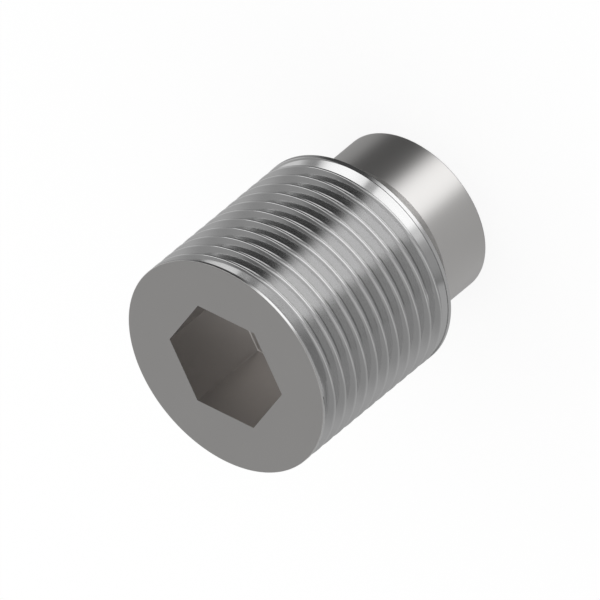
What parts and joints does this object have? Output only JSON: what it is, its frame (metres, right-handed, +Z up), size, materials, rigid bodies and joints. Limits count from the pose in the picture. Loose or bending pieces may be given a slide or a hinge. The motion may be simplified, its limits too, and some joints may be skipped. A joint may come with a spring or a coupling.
{
  "type": "socket set screw",
  "caption": "Headless steel set screw with a fine thread, a hexagon socket in its top end and a plain cylindrical dog point below.",
  "frame": {"origin": "centre of the dog point's flat end, which the screw stands on", "axes": "+Z up the screw's axis from the dog point to the socket face; +X through a corner of the hexagon socket"},
  "size_m": [0.02, 0.02, 0.025],
  "materials": {
    "steel": "smooth machined stainless steel with a soft sheen"
  },
  "bodies": {
    "root": {"set_screw": "steel"}
  },
  "joints": []
}
